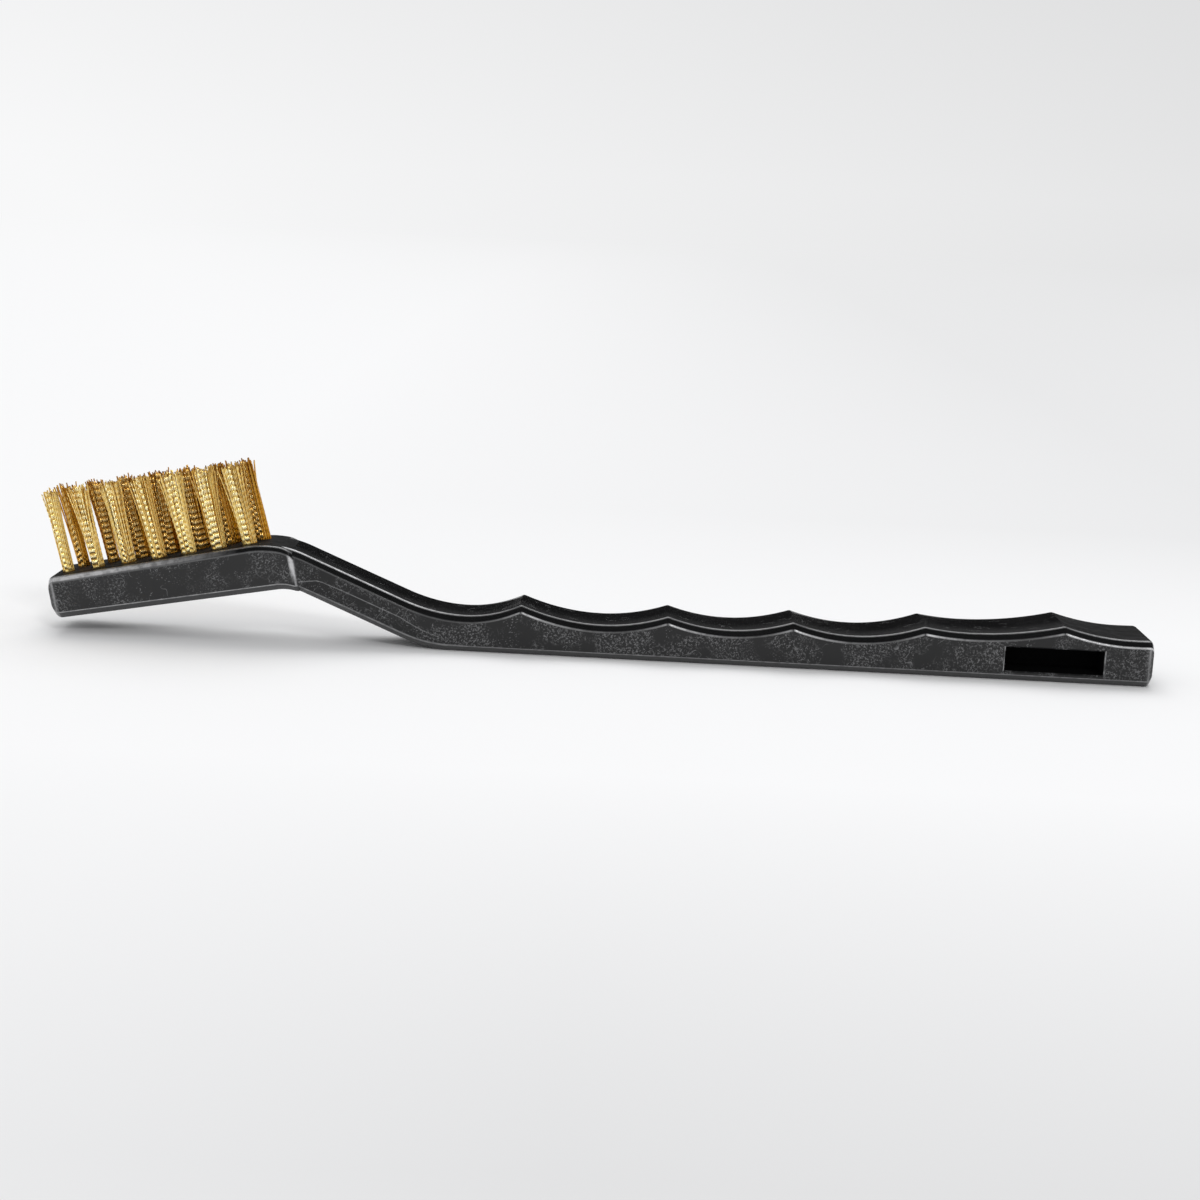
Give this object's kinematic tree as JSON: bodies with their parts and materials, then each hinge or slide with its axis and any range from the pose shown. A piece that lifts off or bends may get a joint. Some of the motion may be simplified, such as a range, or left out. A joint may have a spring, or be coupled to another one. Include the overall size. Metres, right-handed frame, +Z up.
{
  "type": "anti-static brush",
  "caption": "Small hand brush: bent black conductive plastic handle with a scalloped finger grip, a raised tilted head and two staggered rows of crimped brass wire tufts.",
  "frame": {"origin": "on the flat back of the grip, halfway along the handle and across it", "axes": "+X along the handle from the tip of the head to the butt, +Y across it, +Z up, the way the bristles point"},
  "size_m": [0.1796, 0.0142, 0.03],
  "materials": {
    "handle_plastic": "satin, lightly scuffed",
    "brass_wire": "bright drawn wire",
    "anchor_strip": "plain rolled strip"
  },
  "bodies": {
    "root": {"handle": "handle_plastic", "tuft_front_1": "brass_wire", "tuft_front_2": "brass_wire", "tuft_front_3": "brass_wire", "tuft_front_4": "brass_wire", "tuft_front_5": "brass_wire", "tuft_front_6": "brass_wire", "tuft_front_7": "brass_wire", "tuft_rear_1": "brass_wire", "tuft_rear_2": "brass_wire", "tuft_rear_3": "brass_wire", "tuft_rear_4": "brass_wire", "tuft_rear_5": "brass_wire", "tuft_rear_6": "brass_wire", "tuft_rear_7": "brass_wire", "anchor_front_1": "anchor_strip", "anchor_front_2": "anchor_strip", "anchor_front_3": "anchor_strip", "anchor_front_4": "anchor_strip", "anchor_front_5": "anchor_strip", "anchor_front_6": "anchor_strip", "anchor_front_7": "anchor_strip", "anchor_rear_1": "anchor_strip", "anchor_rear_2": "anchor_strip", "anchor_rear_3": "anchor_strip", "anchor_rear_4": "anchor_strip", "anchor_rear_5": "anchor_strip", "anchor_rear_6": "anchor_strip", "anchor_rear_7": "anchor_strip"}
  },
  "joints": []
}
